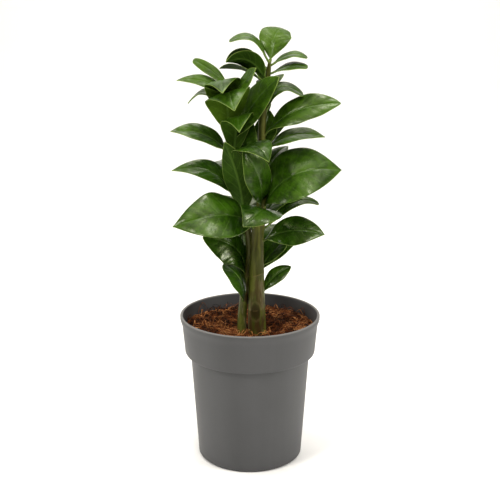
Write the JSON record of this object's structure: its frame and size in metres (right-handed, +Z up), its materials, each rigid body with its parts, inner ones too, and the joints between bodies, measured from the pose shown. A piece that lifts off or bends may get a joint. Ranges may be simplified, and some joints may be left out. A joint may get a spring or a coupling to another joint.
{
  "type": "potted zenzi zz plant",
  "caption": "Dwarf ZZ plant in a collared plastic pot: upright stalks with thick arching glossy leaflets, standing in coir potting mix.",
  "frame": {"origin": "centre of the pot's flat underside, on the pot's axis", "axes": "+Z up along the pot's axis, -Y towards the front of the plant, the shorter frond on the -X side"},
  "size_m": [0.1513, 0.13, 0.3984],
  "materials": {
    "pot_plastic": "satin grey moulded plastic",
    "coir_mix": "rough fibrous coir",
    "rhizome_skin": "dull corky skin",
    "main_foliage": "waxy gloss leaf",
    "left_foliage": "waxy gloss leaf"
  },
  "bodies": {
    "root": {"pot": "pot_plastic", "substrate": "coir_mix", "rhizome": "rhizome_skin", "frond_main": "main_foliage", "frond_left": "left_foliage"}
  },
  "joints": []
}
